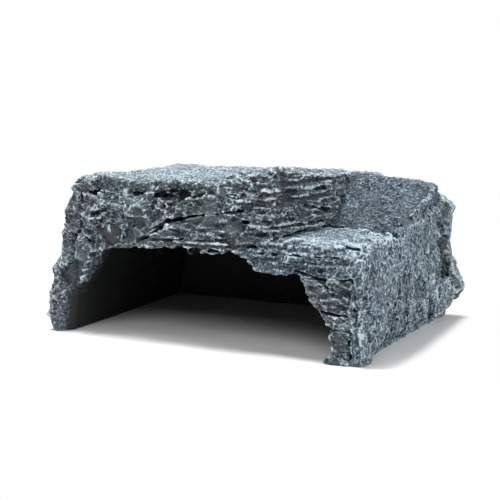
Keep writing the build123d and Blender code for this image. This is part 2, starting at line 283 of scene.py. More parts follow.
# the roof slab is as rough along its front edge as the lintel under it; widths are in mm
rim = {"block": "roof_slab", "like": "lintel_upper", "wide": 4.0, "fade": 2.0, "below": 2.0}
weightSum = np.full(gridShape, 1e-3, np.float32)
depthOf = {key: np.zeros(gridShape, np.float32) for key in carvings["left_wall"]}
for name, (field, window, _) in blockFields.items():
    near = nearest[window]
    others = np.where(field <= near, second[window], near)
    weight = np.clip(0.5 - (field - others) / 2 / carving["blend"], 0, 1)
    weightSum[window] += weight
    for key, depth in carvings[name].items():
        depthOf[key][window] += weight * depth
rimShare = along(1) - corner(rim["block"])[1] - rim["wide"]
rimShare = np.clip(-rimShare / rim["fade"], 0, 1).astype(np.float32)[None, :, None]
rimShare = rimShare * (along(2) > corner(rim["block"])[2] - rim["below"])
for key, depth in depthOf.items():
    depth /= weightSum
    depth += rimShare * np.maximum(carvings[rim["like"]][key] - depth, 0)
    depth *= outside
report("carving depths blended")

rock -= depthOf["heave"] * noiseGrid(size=24, seed=31)
rock -= depthOf["broad"] * dishGrid(size=14, seed=32)
report("broad facets")
rock -= depthOf["small"] * dishGrid(size=6, seed=33)
report("small facets")
rock -= depthOf["beds"] * dishGrid(size=3, seed=34, stretch=(6, 4, 1), dip=-0.08)
report("beds")


def creaseGrid(size, width, seed):
    # 1 along the lines where a noise changes sign, 0 past `width` of it, in patches.
    line = 1 - np.abs(noiseGrid(size, seed)) / width
    return np.clip(line, 0, 1) * np.clip(noiseGrid(size * 1.6, seed + 1) * 2 + 0.5, 0, 1)


longCreases = creaseGrid(size=10, width=0.10, seed=35)
fineCreases = creaseGrid(size=5.5, width=0.13, seed=37) * 0.7
rock += depthOf["creases"] * np.maximum(longCreases, fineCreases)
report("creases")


# cracks along the joints
# width and depth in mm; "open" is the share of the joint's length that gapes
crackRules = {"gapeSize": 7, "wanderSize": 5, "wander": 0.5, "meet": 1.5, "firstSeed": 3}
joints = {
    ("lintel_upper", "lintel_lower"): {"width": 0.9, "depth": 4.0, "open": 0.8},
    ("lintel_lower", "strata_block"): {"width": 0.7, "depth": 3.0, "open": 0.7},
    ("lintel_upper", "strata_block"): {"width": 0.7, "depth": 2.5, "open": 0.6},
    ("left_haunch", "lintel_upper"): {"width": 0.5, "depth": 2.0, "open": 0.5},
    ("left_haunch", "left_wall"): {"width": 0.5, "depth": 1.5, "open": 0.4},
    ("left_shoulder", "left_wall"): {"width": 0.7, "depth": 2.0, "open": 0.5},
    ("strata_block", "ledge_slab"): {"width": 1.0, "depth": 3.0, "open": 0.8},
    ("riser_block", "ledge_slab"): {"width": 0.6, "depth": 1.5, "open": 0.5},
    ("ledge_slab", "right_pier"): {"width": 0.9, "depth": 4.0, "open": 0.8},
    ("right_pier", "pier_foot"): {"width": 0.7, "depth": 2.0, "open": 0.6},
    ("right_pier", "right_wall"): {"width": 1.0, "depth": 4.0, "open": 0.35},
    ("pier_foot", "right_wall"): {"width": 0.9, "depth": 3.0, "open": 0.35},
    ("right_wall", "flank_chip"): {"width": 0.7, "depth": 2.5, "open": 0.8},
    ("back_wall", "right_wall"): {"width": 0.5, "depth": 2.0, "open": 0.25},
    ("roof_slab", "lintel_upper"): {"width": 0.5, "depth": 2.0, "open": 0.2},
    ("roof_slab", "left_shoulder"): {"width": 0.4, "depth": 2.0, "open": 0.2},
    ("riser_block", "right_wall"): {"width": 0.7, "depth": 2.5, "open": 0.5},
}


def shared(a, b):
    # The window that two blocks' fields share, and each field cut to it.
    (fieldA, windowA, _), (fieldB, windowB, _) = blockFields[a], blockFields[b]
    both = tuple(slice(max(p.start, q.start), min(p.stop, q.stop))
                 for p, q in zip(windowA, windowB))
    cutA, cutB = (tuple(slice(s.start - w.start, s.stop - w.start) for s, w in zip(both, window))
                  for window in (windowA, windowB))
    return both, fieldA[cutA], fieldB[cutB]


skin = rock.copy()      # the surface before it is cracked
for seed, ((a, b), crack) in enumerate(joints.items(), crackRules["firstSeed"]):
    both, fieldA, fieldB = shared(a, b)
    gape = noiseGrid(crackRules["gapeSize"], seed, both)
    gape = np.clip((gape + crack["open"] * 2 - 1) * 1.4, 0, 1) * crack["width"]
    wander = noiseGrid(crackRules["wanderSize"], seed + 50, both)
    offJoint = np.abs((fieldA - fieldB) / 2 + wander * crackRules["wander"])
    # only where the two blocks really meet
    offJoint = offJoint + np.maximum(np.maximum(fieldA, fieldB) - crackRules["meet"], 0)
    depthBelow = np.maximum(-skin[both], 0)
    groove = gape * (1 - depthBelow / crack["depth"]) - offJoint
    rock[both] = np.maximum(rock[both], np.minimum(groove * 1.2, 2))
report("joints cracked")


# gouges, lips and calm facets, set one by one. `calm` is 1 where a stone stays smooth
calm = np.zeros(gridShape, np.float32)


def windowAt(lowest, highest):
    # Slices of the grid between two places, and all places in them, in mm.
    first = np.maximum(np.floor((lowest - gridLow) / step).astype(int), 0)
    last = np.minimum(np.ceil((highest - gridLow) / step).astype(int) + 1, gridShape)
    axes = [(np.arange(p, q) * step + gridLow[a]).astype(np.float32)
            for a, (p, q) in enumerate(zip(first, last))]
    return slices(first, last), np.meshgrid(*axes, indexing="ij")


def sampled(field, points):
    # Values of a grid at points in mm.
    at = points / step - low
    whole = np.clip(np.floor(at).astype(int), 0, np.array(gridShape) - 2)
    t = (at - whole).astype(np.float32)
    total = 0
    for dx in (0, 1):
        for dy in (0, 1):
            for dz in (0, 1):
                weight = ((t[:, 0] if dx else 1 - t[:, 0]) * (t[:, 1] if dy else 1 - t[:, 1])
                          * (t[:, 2] if dz else 1 - t[:, 2]))
                total = total + weight * field[whole[:, 0] + dx, whole[:, 1] + dy, whole[:, 2] + dz]
    return total


def placed(block, place, away=None):
    # A place, given in mm from a block's low corner; moved along `away`, if given, onto the
    # surface.
    place = corner(block) + np.array(place, float)
    if away is None:
        return place
    line = place + np.arange(-14, 14, 0.3)[:, None] * np.array(away)
    under = np.flatnonzero(sampled(skin, line) < 0)
    return line[under[-1]] if len(under) else line[len(line) // 2]


def strokeAlong(block, start, end, width, depth, seed, wobble=0.35, away=None):
    # How far inside an uneven stroke each place is, in mm, and the window that it fills.
    start, end = placed(block, start, away), placed(block, end, away)
    length = np.linalg.norm(end - start)
    way = (end - start) / length if length > 0 else np.array([1.0, 0.0, 0.0])
    rise = np.array([0, 0, 1.0]) - way * way[2]
    rise = rise / np.linalg.norm(rise)
    into = np.cross(way, rise)
    span = max(width, depth) * 1.6
    window, place = windowAt(np.minimum(start, end) - span, np.maximum(start, end) + span)
    offset = [p - m for p, m in zip(place, (start + end) / 2)]
    a, b, c = [sum(o * float(k) for o, k in zip(offset, axis)) for axis in (way, rise, into)]
    taper = np.maximum(np.abs(a) - length / 2, 0) / max(width, 1.5)
    uneven = noiseGrid(width * 1.5 + 1, seed, window) * wobble
    inside = 1 + uneven - np.sqrt(taper**2 + (b / width) ** 2 + (c / depth) ** 2)
    return window, inside * min(width, depth)


def gouge(*stroke, **options):
    # Takes a stroke away from the rock.
    window, inside = strokeAlong(*stroke, **options)
    rock[window] = np.maximum(rock[window], inside)


def lip(*stroke, **options):
    # Adds a stroke to the rock.
    window, inside = strokeAlong(*stroke, **options)
    rock[window] = np.minimum(rock[window], -inside)


def facet(block, place, facing, radius, cut, calmness=1.0, tall=99.0, away=None):
    # A flat, calm chip: cuts the stone `cut` mm below a place, square to `facing`. What stands
    # over `tall` mm in front of it is left.
    middle = placed(block, place, away)
    facing = np.array(facing, float) / np.linalg.norm(facing)
    window, place = windowAt(middle - radius * 1.6, middle + radius * 1.6)
    offset = [p - m for p, m in zip(place, middle)]
    height = sum(o * float(k) for o, k in zip(offset, facing))
    outFrom = np.sqrt(np.maximum(sum(o**2 for o in offset) - height**2, 0))
    # its outline is uneven, and past it the cut slopes up and out of the stone
    past = outFrom - radius * (0.95 + 0.5 * noiseGrid(radius * 0.8, int(radius * 10), window))
    plane = height + cut - 0.9 * np.maximum(past, 0)
    plane = np.minimum(plane, tall - height)
    rock[window] = np.maximum(rock[window], np.minimum(plane, far))
    share = np.clip(-past / (radius * 0.25), 0, 1) * calmness
    calm[window] = np.maximum(calm[window], share)


# Places are mm from the block's low corner, and every line is one cut, in this order:
#   gouge or lip: from, to, width seen from the front, depth, seed, how uneven
#   facet: place, facing, radius, depth of the cut, how calm, how tall a form it may cut
frontCarving = {
    "roof_slab": [
        # dark pits under the rim
        (gouge, (27.3, 0.5, 6), (27.6, 0.5, 6.4), 1.7, 3.5, 61),
        (gouge, (47, 0.5, 7.4), (48.5, 0.5, 7.8), 0.9, 2.5, 62),
    ],
    "lintel_upper": [
        # recesses under the roof
        (gouge, (55, 0, 31), (58.5, 0, 33.5), 2.6, 3.2, 63, 0.9),
        (gouge, (65.5, 0, 33), (69.5, 0, 34.4), 2.2, 3.2, 64, 0.9),
        (gouge, (51, 0, 35.5), (73, 0, 37), 0.8, 2.2, 65, 0.9),
        (gouge, (75, 0, 33.6), (81, 0, 35.2), 1.0, 2.4, 60, 0.7),
        # broken hollow on the left
        (gouge, (10.5, 0, 21.2), (18, 0, 23.8), 2.2, 3.6, 66, 0.6),
        (gouge, (4.9, -0.5, 7), (10.2, -0.5, 0.3), 0.7, 3.0, 67, 0.2),
        # slanted crack over the lower lintel, and its slot
        (gouge, (57.5, -1, 19.4), (65, -1, 20.8), 1.3, 6.0, 68, 0.25),
        (gouge, (43, -1, 12), (56, -1, 18.8), 0.7, 2.5, 69, 0.4),
        (gouge, (26, -1, 16), (48, -1, 17.6), 0.6, 1.8, 70, 0.6),
        # smooth patches
        (facet, (21.4, -1, 9.4), (0.10, -1, -0.12), 6.0, 1.2),
        (facet, (38, -1, 10), (0.05, -1, 0.25), 6.5, 1.0, 0.6),
    ],
    "left_haunch": [
        # two large smooth faces
        (facet, (5.4, -0.5, 18.4), (0.35, -1, -0.25), 6.0, 1.2),
        (facet, (-1.5, -0.5, 7.5), (0.40, -1, -0.20), 5.5, 1.0),
    ],
    "left_shoulder": [
        # smooth patch at the corner
        (facet, (10.5, -0.5, 28), (-0.3, -1, 0.25), 5.0, 1.2, 0.5),
    ],
    "lintel_lower": [
        # smooth lens, the pale flake on its right, and a pale line with a slot beside it
        (facet, (50.5, 0, 20.6), (-0.04, -1, 0.05), 7.5, 0.9),
        (facet, (40.5, 0.2, 19), (0.06, -1, 0.10), 6.0, 0.7),
        (facet, (65, -0.6, 14), (0.30, -1, 0.35), 5.0, 0.9, 0.7),
        (lip, (33, 0.4, 4.1), (62, 0.4, 4.7), 0.7, 2.2, 72, 0.5),
        (gouge, (12, 0, 3.8), (34, 0, 5.6), 0.7, 2.5, 73, 0.6),
    ],
    "strata_block": [
        # holes over the ledge and slots between the layers
        (gouge, (27, 0, 2.6), (30, 0, 3), 1.3, 4.0, 74),
        (gouge, (33, 11, 5.6), (45, 45, 6.4), 1.1, 2.6, 75, 0.7),
        (gouge, (30.5, 4, 23), (46, 48, 24.6), 1.7, 2.8, 76, 0.5),
        (gouge, (41, 34, 15.5), (46.5, 49, 12.4), 1.2, 2.6, 77, 0.5),
    ],
    "ledge_slab": [
        # crevice that runs down across the pier, and a fine line along the ledge
        (gouge, (34.6, 0, 3.4), (48.6, 0, -0.8), 0.9, 4.0, 78, 0.4),
        (gouge, (48.6, 0, -0.8), (53.6, 0, -7.5), 0.9, 4.0, 79, 0.3),
        (gouge, (14, 0, 11.5), (56, 0, 12), 0.5, 1.5, 80, 0.8),
    ],
    "right_pier": [
        # slot across, and holes down the arris beside the flank
        (gouge, (13, -1, 9), (27, -1, 8), 0.7, 2.0, 81, 0.6),
        (gouge, (30.3, -0.5, 21), (30.6, -0.5, 18), 1.1, 4.0, 82),
        (gouge, (31.4, -0.5, 11.2), (32, -0.5, 8.2), 1.0, 4.0, 83),
        (gouge, (31.6, -0.5, 5.6), (31.8, -0.5, 4.4), 1.0, 3.5, 84),
    ],
}
sideCarving = {
    "right_wall": [
        # worn place near the wing
        (facet, (13, 112, 53), (1, -0.15, 0.05), 11.0, 0.3, 0.5),
        # long dark socket, and the pale flake behind it
        (gouge, (13, 80, 25.5), (13.4, 93, 26.5), 5.2, 4.0, 91, 0.3),
        (facet, (11.6, 88, 26), (1, -0.4, 0.15), 6.0, 2.0, 0.5),
        (facet, (11.6, 80.5, 27), (1, 0.2, 0.35), 4.5, 1.2, 0.35),
        (lip, (12.6, 110, 17), (12.6, 105, 29.5), 4.2, 5.0, 103, 0.3),
        (facet, (14.6, 108, 23), (1, -0.5, 0.1), 7.0, -1.8, 0.5),
        # ribs round the foot, and chips out of its edge
        (lip, (12, 62, 21), (12, 72, 15), 1.5, 1.3, 104, 0.6),
        (lip, (12, 74, 16), (12, 86, 10), 1.6, 1.4, 105, 0.6),
        (lip, (12, 90, 17.5), (12, 99, 8), 1.6, 1.5, 106, 0.6),
        (gouge, (8, 54, 3.6), (8.6, 68, 2.4), 0.9, 1.6, 107, 0.9),
        (gouge, (9, 80, 2.4), (9.4, 92, 3.8), 1.0, 1.6, 108, 0.9),
        # small hollow over the socket, two pits, hollows between the ribs
        (gouge, (13.3, 80.6, 43.8), (13.3, 82.8, 41), 2.2, 2.8, 92),
        (gouge, (8, 46, 13), (8.2, 47, 10.4), 1.6, 3.0, 93),
        (gouge, (8.6, 46.4, 18.2), (8.6, 46.2, 15.6), 1.2, 2.4, 94),
        (gouge, (10.4, 68, 24), (10, 70, 16.5), 1.8, 1.9, 95, 0.5),
        (gouge, (11.2, 84, 21), (10.8, 86, 13), 1.8, 2.2, 96, 0.5),
        (gouge, (12, 101, 19), (11.6, 103, 9), 2.0, 2.4, 97, 0.5),
        # slot under the riser, and a pit at the ledge
        (gouge, (13, 36, 64), (13.4, 41, 64.8), 1.5, 3.4, 98, 0.4),
        (gouge, (10.5, 4, 61.2), (10.6, 5, 60), 0.9, 2.4, 99),
    ],
    "back_wall": [
        # calm, worn faces on the wing
        (facet, (214, 4, 66), (0.5, -1, 0.1), 8.0, 0.8, 0.7, 3.0),
        (facet, (212, 4, 46), (0.7, -1, -0.1), 7.0, 0.6, 0.7, 3.0),
        (facet, (217, 4, 22), (0.6, -1, 0.1), 6.0, 0.6, 0.5, 3.0),
    ],
    "riser_block": [
        # a tiny pit, a rib of pale flakes down the right edge, and a slot at the ledge
        (gouge, (28.2, 15, 8.4), (28.4, 15.4, 8.8), 0.8, 2.0, 100),
        (lip, (47, 5, 4.2), (56, 24, 21.5), 1.5, 1.6, 101, 0.6),
        (facet, (46.8, 7, 6.2), (0.1, -0.8, 0.6), 4.0, -0.4),
        (gouge, (36, 3, 3), (44, 5.5, 4.6), 0.8, 2.2, 102, 0.6),
    ],
}
for side, away in ((frontCarving, (0, -1, 0)), (sideCarving, (1, 0, 0))):
    for block, cuts in side.items():
        for tool, *sizes in cuts:
            tool(block, *sizes, away=away)
report("hollows and facets cut")

# the edge of the mouth, from the left foot over the arch and down the pier, in mm from the
# low corner of the upper lintel
mouthEdge = [(-1.3, 0, -20), (10.9, 0, -0.2), (22.5, 0, 0.6), (33.8, 0, 4.5), (54.5, 0, 4.3),
             (83.9, 0, 5.0), (100, 0, 4.1), (104.5, 0, -1.3), (114.2, 0, -7.3), (133.8, 0, -6.2),
             (139, 0, -11.9), (143, 0, -22), (147, 0, -32), (152, 0, -32), (155.6, 0, -43.4)]
nibbles = {"count": 100, "radius": (0.6, 1.8), "offset": 0.6, "run": 5, "seed": 41}


def nibbleEdge(block, edge, sizes, tool=gouge):
    # Small bites, or lumps, at uneven places along an edge.
    rng = np.random.default_rng(sizes["seed"])
    edge = np.array(edge, float)
    run = np.append(0, np.cumsum(np.linalg.norm(np.diff(edge, axis=0), axis=1)))
    for at in rng.uniform(0, run[-1], sizes["count"]):
        place = np.array([np.interp(at, run, edge[:, axis]) for axis in range(3)])
        place[2] += rng.uniform(-1, 1) * sizes["offset"]
        radius = rng.uniform(*sizes["radius"])
        tool(block, place - (0, 2, 0), place + (rng.uniform(-1, 1), sizes["run"], 0), radius,
             radius * rng.uniform(0.9, 1.8), seed=int(at * 10), wobble=0.5)


nibbleEdge("lintel_upper", mouthEdge, nibbles)
# the rear edge of the roof is broken, with rubble on the step behind it
nibbleEdge("roof_slab", [(4, 140, 6.5), (145, 140, 6.5)],
           {"count": 34, "radius": (1.2, 3.4), "offset": 1.5, "run": 4, "seed": 44})
nibbleEdge("roof_slab", [(2, 141.5, 0.5), (145, 141.5, 0.5)],
           {"count": 60, "radius": (1.0, 2.4), "offset": 1.2, "run": 2, "seed": 45}, tool=lip)
report("edges nibbled")

# paler and darker patches of paint, painted shade among them: block, place in mm from its low
# corner, radius, and what is added to the paint in the middle
tintsAndPaintedShade = [
    # paler patches on the left foot and shoulder
    ("left_wall", (11.7, 1, 14.5), 8, 0.18),
    ("left_wall", (17.3, -1, 24), 6, 0.10),
    ("left_wall", (23.6, 0, 46), 7, 0.14),
    ("left_shoulder", (8.6, 0, 3), 6, 0.12),
    ("lintel_upper", (48.4, 1, 24.5), 5, 0.12),
    ("lintel_upper", (29.6, -1, 28.5), 6, 0.10),
    ("strata_block", (46.6, 59, 22), 10, 0.15),
    ("strata_block", (36.6, 26, 12), 6, 0.12),
    # darker: painted shade under the rim of the roof, and darker paint in the smooth patches
    ("roof_slab", (92, 5, 8), 9, -0.12),
    ("roof_slab", (52, 2, 3), 8, -0.10),
    ("roof_slab", (79, 4, 2.6), 6, -0.10),
    ("lintel_upper", (62, 3, 34), 8, -0.10),
    ("lintel_upper", (19.6, 2, 11), 7, -0.05),
    ("lintel_lower", (57, 2, 20), 7, -0.05),
    ("lintel_lower", (61, 0, 8), 5, -0.08),
    ("left_wall", (27.5, 3, 35.7), 6, -0.10),
    ("right_pier", (10.3, 0, 23), 6, -0.12),
    ("pier_foot", (16, 1, 13), 5, -0.10),
    ("ledge_slab", (42, 26, 20), 7, -0.14),
    ("right_wall", (3.3, 17, 66), 8, -0.12),
    # painted shade in the socket on the flank, the pale flake behind it, paler knobs round its
    # foot, tip of the wing
    ("right_wall", (10.5, 88, 26), 6.5, -0.12),
    ("right_wall", (11, 80, 27), 5, -0.08),
    ("right_wall", (15.5, 109, 22), 7.5, 0.22),
    ("right_wall", (11.8, 67, 17), 8, 0.08),
    ("right_wall", (11.8, 92, 11), 7, 0.10),
    ("right_wall", (9.9, 28, 25), 8, 0.08),
    ("back_wall", (219, 2, 25), 9, 0.12),
]
firstTintSeed = 200
shade = np.zeros(gridShape, np.float32)
for seed, (block, place, radius, more) in enumerate(tintsAndPaintedShade, firstTintSeed):
    middle = placed(block, place)
    window, place = windowAt(middle - radius * 1.4, middle + radius * 1.4)
    apart = np.sqrt(sum((p - m) ** 2 for p, m in zip(place, middle))) / radius
    apart += noiseGrid(radius * 0.5, seed, window) * 0.3
    shade[window] += more * np.clip(2.2 - 2 * apart, 0, 1)
report("patches of paint placed")


def meshFrom(field, first):
    # Closed faces round the negative part of a field, in mm.
    limit = 3 * step
    level = openvdb.FloatGrid(limit)
    level.transform = placing
    level.copyFromArray(np.clip(field, -limit, limit), ijk=first)
    level.gridClass = openvdb.GridClass.LEVEL_SET
    return level.convertToPolygons(isovalue=0.0, adaptivity=0.0)


# Faces inside the room, or deeper than "hidden" mm against a neighbour, are thinned to a share
# "kept" of them; "others" says how readily the rest go where a stone has too many triangles
thinning = {"kept": 0.12, "inside": 0.9, "hidden": 1.2, "others": 0.03, "most": 185000}


def stoneMesh(name):
    field, window, first = blockFields[name]
    near = nearest[window]
    others = np.where(field <= near, second[window], near)
    share = (field - others) / 2
    body = rock[window] + carving["tuck"] * np.maximum(share, 0)
    body = np.maximum(body, share - carving["overlap"])
    points, triangles, quads = meshFrom(body, first)
    dense = bpy.data.meshes.new(name + "Dense")
    faces = [*triangles[:, ::-1].tolist(), *quads[:, ::-1].tolist()]     # wound to face outward
    dense.from_pydata((points * mm).tolist(), [], faces)
    item = linked(bpy.data.objects.new(name + "Dense", dense))
    inside = roomShare(sampled(roomField, points))
    plain = (inside > thinning["inside"]) | (sampled(rock, points) < -thinning["hidden"])
    group = item.vertex_groups.new(name="plain")
    for chosen, weight in ((plain, 1.0), (~plain, thinning["others"])):
        group.add(np.flatnonzero(chosen).tolist(), weight, "REPLACE")
    modifier = item.modifiers.new("thin", "DECIMATE")
    modifier.ratio = min(1 - (1 - thinning["kept"]) * plain.mean(),
                         thinning["most"] / (len(triangles) + 2 * len(quads)))
    modifier.vertex_group = "plain"
    modifier.vertex_group_factor = 1.0
    mesh = bpy.data.meshes.new_from_object(
        item.evaluated_get(bpy.context.evaluated_depsgraph_get()))
    bpy.data.objects.remove(item)
    mesh.name = name + "Rock"
    points = np.empty(len(mesh.vertices) * 3, np.float32)
    mesh.vertices.foreach_get("co", points)
    points = points.reshape(-1, 3) / mm
    for title, values in (("inside", roomShare(sampled(roomField, points))),
                          ("calm", sampled(calm, points)), ("shade", sampled(shade, points))):
        layer = mesh.attributes.new(title, "FLOAT", "POINT")
        layer.data.foreach_set("value", values.astype(np.float32))
    report(f"{name}: {len(dense.polygons)} faces, thinned to {len(mesh.polygons)}")
    return mesh


meshes = {name: stoneMesh(name) for name in stoneNames}


# nodes
def nodeMaker(tree):
    # Two helpers for a tree. The first adds a node with its settings and inputs, each a value or
    # a link, and gives the node's outputs. The second does one sum.
    def add(kind, inputs=None, **settings):
        node = tree.nodes.new(kind)
        for title, value in settings.items():
            setattr(node, title, value)
        for title, value in (inputs or {}).items():
            if isinstance(value, bpy.types.NodeSocket):
                tree.links.new(value, node.inputs[title])
            else:
                node.inputs[title].default_value = value
        return node.outputs

    def calc(operation, a, b=0.0, clamp=False):
        return add("ShaderNodeMath", {0: a, 1: b}, operation=operation, use_clamp=clamp)[0]

    return add, calc


# the rock skin, in nodes
# its inputs. Lengths are in metres, and a crumb in corners of its mesh; Tone is how much lighter or
# darker a stone's paint is than the rest, and on the riser it is painted shade
skinSizes = {
    "Chip Size": 0.0030,
    "Chip Depth": 0.0007,
    "Stretch": (1.0, 1.0, 1.0),
    "Patch Size": 0.011,
    "Layer Size": 0.0022,
    "Layer Depth": 0.0,
    "Layer Dip": 0.1,
    "Pit Size": 0.0050,
    "Pit Depth": 0.0011,
    "Pit Share": 0.25,
    "Grain Size": 0.0013,
    "Grain Depth": 0.0003,
    "Crumb Size": 600.0,
    "Tone": 0.0,
    "Seed": 1.0,
}


def makeRockSkin():
    tree = bpy.data.node_groups.new("rockSkin", "GeometryNodeTree")
    newSocket = tree.interface.new_socket
    newSocket("Stone", in_out="INPUT", socket_type="NodeSocketGeometry")
    newSocket("Stone", in_out="OUTPUT", socket_type="NodeSocketGeometry")
    for title, value in skinSizes.items():
        kind = "NodeSocketVector" if isinstance(value, tuple) else "NodeSocketFloat"
        newSocket(title, in_out="INPUT", socket_type=kind).default_value = value
    newSocket("Paint", in_out="INPUT", socket_type="NodeSocketMaterial")
    add, calc = nodeMaker(tree)
    given = add("NodeGroupInput")

    def vector(operation, a, b):
        outputs = add("ShaderNodeVectorMath", {0: a, 1: b}, operation=operation)
        return outputs["Value" if operation == "DOT_PRODUCT" else "Vector"]

    def scaled(a, scale):
        return add("ShaderNodeVectorMath", {0: a, "Scale": scale}, operation="SCALE")["Vector"]

    def ramp(value, start, end, to=(0.0, 1.0)):
        ends = {"From Min": start, "From Max": end, "To Min": to[0], "To Max": to[1]}
        return add("ShaderNodeMapRange", {"Value": value, **ends},
                   interpolation_type="SMOOTHSTEP")["Result"]

    def noise(at, detail=2.0, scale=1.0):
        return add("ShaderNodeTexNoise", {"Vector": at, "Scale": scale, "Detail": detail})

    def voronoi(at):
        return add("ShaderNodeTexVoronoi", {"Vector": at, "Scale": 1.0})

    def combine(x, y, z):
        return add("ShaderNodeCombineXYZ", {0: x, 1: y, 2: z})[0]

    def inCells(size):
        # places counted in cells of this size
        return vector("DIVIDE", place, combine(size, size, size))

    def named(title):
        return add("GeometryNodeInputNamedAttribute", {"Name": title})["Attribute"]

    def store(stone, title, value):
        return add("GeometryNodeStoreNamedAttribute",
                   {"Geometry": stone, "Name": title, "Value": value})["Geometry"]

    def bent(at, turn, bend):
        # cells pushed about by a noise, so that they come out uneven
        turn = vector("SUBTRACT", turn["Color"], (0.5, 0.5, 0.5))
        return vector("ADD", at, scaled(turn, bend))

    place = add("GeometryNodeInputPosition")[0]
    away = add("GeometryNodeInputNormal")[0]
    parts = add("ShaderNodeSeparateXYZ", {0: place})
    seedShift = combine(given["Seed"], calc("MULTIPLY", given["Seed"], 1.7), 0.0)

    # chips: hollows that meet in sharp ridges, deep in some patches and faint in others
    patch = noise(vector("ADD", inCells(given["Patch Size"]), seedShift))["Fac"]
    patch = ramp(patch, 0.36, 0.64, (0.25, 1.35))
    at = vector("DIVIDE", place, scaled(given["Stretch"], given["Chip Size"]))
    at = vector("ADD", vector("ADD", at, seedShift), (0.7, 8.0, 1.2))
    near = voronoi(bent(at, noise(at, scale=0.8), 1.3))["Distance"]
    bowl = calc("SUBTRACT", calc("POWER", near, 1.6), 0.35)
    total = calc("MULTIPLY", bowl, calc("MULTIPLY", given["Chip Depth"], 2.0))
    total = calc("MULTIPLY", total, patch)

    # bedding layers that dip along the front
    height = calc("ADD", parts["Z"], calc("MULTIPLY", parts["X"], given["Layer Dip"]))
    long = calc("MULTIPLY", given["Layer Size"], 7.0)
    at = combine(calc("DIVIDE", parts["X"], long), calc("DIVIDE", parts["Y"], long),
                 calc("DIVIDE", height, given["Layer Size"]))
    bed = ramp(noise(vector("ADD", at, seedShift))["Fac"], 0.36, 0.64)
    bed = calc("MULTIPLY", calc("SUBTRACT", bed, 0.5), calc("MULTIPLY", given["Layer Depth"], 2.0))
    total = calc("ADD", total, bed)

    # scattered pits
    at = inCells(given["Pit Size"])
    pit = voronoi(bent(vector("ADD", at, seedShift), noise(at, 1.0, 1.3), 0.8))
    taken = calc("LESS_THAN", add("FunctionNodeSeparateColor", {0: pit["Color"]})[0],
                 given["Pit Share"])
    hole = calc("MULTIPLY", ramp(pit["Distance"], 0.42, 0.12), taken)
    total = calc("SUBTRACT", total, calc("MULTIPLY", hole, given["Pit Depth"]))

    # fine grain all over
    grain = calc("SUBTRACT", noise(inCells(given["Grain Size"]))["Fac"], 0.5)
    grain = calc("MULTIPLY", grain, calc("MULTIPLY", given["Grain Depth"], 3.0))
    total = calc("ADD", total, grain)

    # calm facets and the inner side of the shell stay smooth, and the feet level
    for title, smoothing in (("inside", 0.94), ("calm", 0.85)):
        smoothed = calc("MULTIPLY", named(title), smoothing)
        total = calc("MULTIPLY", total, calc("SUBTRACT", 1.0, smoothed))
    total = calc("MULTIPLY", total, ramp(parts["Z"], -0.002, 0.003, (0.25, 1.0)))
    stone = add("GeometryNodeSetPosition", {
        "Geometry": given["Stone"], "Offset": scaled(away, total)})["Geometry"]
    overFloor = vector("MAXIMUM", place, (-10.0, -10.0, 0.0))
    stone = add("GeometryNodeSetPosition", {
        "Geometry": stone, "Position": overFloor})["Geometry"]

    # crumbs that the carving has cut loose are taken away
    island = add("GeometryNodeInputMeshIsland")["Island Index"]
    count = add("GeometryNodeAccumulateField", {"Value": 1, "Group ID": island},
                data_type="INT", domain="POINT")["Total"]
    crumb = calc("LESS_THAN", count, given["Crumb Size"])
    stone = add("GeometryNodeDeleteGeometry", {"Geometry": stone, "Selection": crumb})["Geometry"]

    # what the paint reads: how far a spot stands out of the surface round it, in mm, seen near
    # by and further off
    # the tone: each stone's Tone plus the placed patches, painted shade among them
    stone = store(stone, "tone", calc("ADD", given["Tone"], named("shade")))
    for title, rounds in (("fine", 3), ("mid", 14), ("broad", 60)):
        blurred = add("GeometryNodeBlurAttribute", {"Value": place, "Iterations": rounds},
                      data_type="FLOAT_VECTOR")["Value"]
        out = vector("DOT_PRODUCT", vector("SUBTRACT", place, blurred), away)
        stone = store(stone, title, calc("DIVIDE", out, mm))

    stone = add("GeometryNodeSetShadeSmooth", {"Geometry": stone})["Geometry"]
    stone = add("GeometryNodeRealizeInstances", {"Geometry": stone})["Geometry"]
    painted = add("GeometryNodeSetMaterial", {"Geometry": stone, "Material": given["Paint"]})
    add("NodeGroupOutput", {"Stone": painted["Geometry"]})
    return tree


rockSkin = makeRockSkin()
report("rock skin nodes made")


# paint
rockColours = [
    (0.00, (0.006, 0.009, 0.012)),
    (0.20, (0.024, 0.031, 0.039)),
    (0.38, (0.058, 0.073, 0.087)),
    (0.54, (0.112, 0.140, 0.162)),
    (0.70, (0.195, 0.243, 0.275)),
    (0.85, (0.310, 0.385, 0.425)),
    (1.00, (0.500, 0.590, 0.635)),
]
blueColours = [
    (0.00, (0.006, 0.010, 0.014)),
    (0.20, (0.022, 0.033, 0.046)),
    (0.38, (0.057, 0.080, 0.104)),
    (0.54, (0.109, 0.147, 0.181)),
    (0.70, (0.188, 0.240, 0.290)),
    (0.85, (0.300, 0.380, 0.435)),
    (1.00, (0.490, 0.590, 0.650)),
]
# what a paint has unless it says otherwise; sizes are in metres
resin = {
    "dotSize": 0.0011, "patchSize": 0.008, "cloudSize": 0.026, "tintSize": 0.020,
    "bareSize": 0.013, "sheenSize": 0.003, "dustSize": 0.0005,
    # top is painted light on faces that look up, partly the dry-brush there too; front is painted
    # shade on faces that look to the front
    "ridges": 0.3, "net": 0.42, "top": 0.18, "front": 0.1, "base": 0.42, "calmDark": 0.0,
    # inner is the plain resin of the inner side, near black as painted shade inside the cave
    "colours": rockColours, "inner": (0.011, 0.012, 0.013),
    "gloss": 0.3, "rough": (0.60, 0.86), "bump": 0.0010,
}


